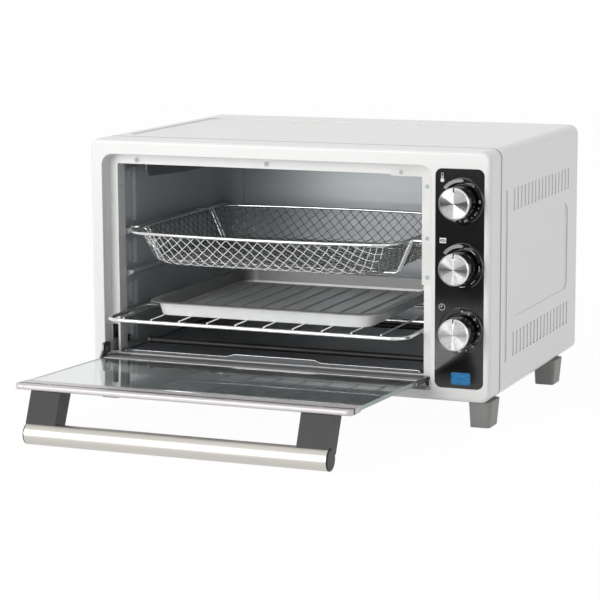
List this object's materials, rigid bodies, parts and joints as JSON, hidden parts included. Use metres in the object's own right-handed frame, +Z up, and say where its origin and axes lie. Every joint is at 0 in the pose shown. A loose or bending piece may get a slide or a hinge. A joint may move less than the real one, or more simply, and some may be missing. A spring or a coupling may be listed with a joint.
{
  "type": "air fryer toaster oven",
  "caption": "Countertop air fryer toaster oven with a drop-down glass door, wire rack, pan, mesh basket, crumb tray and a side control panel with dials.",
  "frame": {"origin": "centre of the bounding box in plan, at the undersides of the feet, with the door open as at rest", "axes": "+Z up, +Y from the front into the oven, +X to the right as seen from the front"},
  "size_m": [0.45, 0.57, 0.2849],
  "materials": {
    "white_paint": "satin white powder coat",
    "black_panel": "gloss black moulding",
    "black_plastic": "satin black heat-resistant plastic",
    "grey_plastic": "grey foot moulding",
    "cream_plastic": "pale translucent strip",
    "lamp_blue": "blue jewel lens",
    "zinc_steel": "zinc plated sheet",
    "coated_grey": "grey non-stick coating",
    "spun_metal": "spun, bright chamfer",
    "satin_metal": "satin extrusion",
    "brushed_tube": "brushed tube",
    "bright_wire": "bright plated wire",
    "pan_metal": "light aluminised sheet",
    "dark_tube": "dark oxidised heater sheath",
    "hinge_steel": "blackened steel",
    "ceramic": "ceramic bush",
    "door_glass": "clear tempered glass"
  },
  "bodies": {
    "cabinet": {"front_bezel": "white_paint", "control_panel": "black_panel", "control_carrier": "zinc_steel", "lamp_frame": "spun_metal", "lamp_lens": "lamp_blue", "lamp_holder": "black_plastic", "dial_rings": "black_panel", "thermostat_body": "black_plastic", "function_switch_body": "black_plastic", "timer_body": "zinc_steel", "housing_wrap": "white_paint", "base_plate": "zinc_steel", "back_panel": "zinc_steel", "cord_gland": "black_plastic", "wall_spacers": "black_plastic", "cavity_front_band": "zinc_steel", "cavity_left_wall": "coated_grey", "cavity_right_wall": "coated_grey", "cavity_ceiling": "coated_grey", "cavity_floor": "coated_grey", "cavity_rear_wall": "coated_grey", "lower_heaters": "dark_tube", "upper_heaters": "dark_tube", "upper_heater_cheeks": "zinc_steel", "lower_heater_holders": "zinc_steel", "heater_insulators": "ceramic", "fan_can": "zinc_steel", "fan_motor": "zinc_steel", "front_feet": "grey_plastic", "rear_feet": "grey_plastic", "mouth_corner_strip": "cream_plastic", "flange_rivets": "zinc_steel", "hinge_brackets": "hinge_steel"},
    "door": {"door_top_rail": "satin_metal", "door_bottom_rail": "satin_metal", "door_glass": "door_glass", "hinge_levers": "hinge_steel", "hinge_pins": "hinge_steel", "handle_tube": "brushed_tube", "handle_end_caps": "black_plastic", "handle_bracket_left": "black_plastic", "handle_bracket_right": "black_plastic", "handle_screws": "zinc_steel"},
    "door_links": {"hinge_links": "hinge_steel"},
    "rack": {"wire_rack": "bright_wire"},
    "basket": {"basket_rim": "bright_wire", "basket_mesh": "bright_wire", "basket_hangers": "bright_wire"},
    "pan": {"baking_pan": "pan_metal"},
    "tray": {"crumb_tray": "zinc_steel"},
    "fan": {"fan_rotor": "zinc_steel"},
    "temperature_dial": {"temperature_knob": "black_panel", "temperature_knob_cap": "spun_metal", "temperature_shaft": "zinc_steel"},
    "function_dial": {"function_knob": "black_panel", "function_knob_cap": "spun_metal", "function_shaft": "zinc_steel"},
    "timer_dial": {"timer_knob": "black_panel", "timer_knob_cap": "spun_metal", "timer_shaft": "zinc_steel"}
  },
  "joints": [
    {"name": "door_hinge", "type": "hinge", "parent": "cabinet", "child": "door", "pos_m": [-0.025, -0.0446, 0.0442], "axis": [1, 0, 0], "range_deg": [-87.76, 0]},
    {"name": "link_turn", "type": "hinge", "parent": "door", "child": "door_links", "pos_m": [-0.025, -0.06144, 0.05877], "axis": [1, 0, 0], "range_deg": [0, 87.8]},
    {"name": "rack_slide", "type": "slide", "parent": "cabinet", "child": "rack", "axis": [0, -1, 0], "range_m": [-0.0505, 0]},
    {"name": "basket_slide", "type": "slide", "parent": "cabinet", "child": "basket", "axis": [0, -1, 0], "range_m": [-0.0475, 0]},
    {"name": "pan_slide", "type": "slide", "parent": "rack", "child": "pan", "axis": [0, -1, 0], "range_m": [0, 0.15]},
    {"name": "crumb_tray_slide", "type": "slide", "parent": "cabinet", "child": "tray", "axis": [0, -0.9992, 0.0391], "range_m": [0, 0.12]},
    {"name": "temperature_turn", "type": "hinge", "parent": "cabinet", "child": "temperature_dial", "pos_m": [0.1949, -0.055, 0.2343], "axis": [0, 1, 0], "range_deg": [0, 300]},
    {"name": "function_turn", "type": "hinge", "parent": "cabinet", "child": "function_dial", "pos_m": [0.1949, -0.055, 0.1678], "axis": [0, 1, 0], "range_deg": [0, 240]},
    {"name": "timer_turn", "type": "hinge", "parent": "cabinet", "child": "timer_dial", "pos_m": [0.1949, -0.055, 0.1017], "axis": [0, 1, 0], "range_deg": [0, 300]},
    {"name": "fan_spin", "type": "hinge", "parent": "cabinet", "child": "fan", "pos_m": [0.16, 0.11, 0.138], "axis": [1, 0, 0], "continuous": true}
  ],
  "couplings": [
    {"joint": "link_turn", "follows": "door_hinge", "ratio": -1},
    {"joint": "rack_slide", "follows": "door_hinge", "m_per_rad": 0.03264},
    {"joint": "basket_slide", "follows": "door_hinge", "m_per_rad": 0.03068}
  ]
}
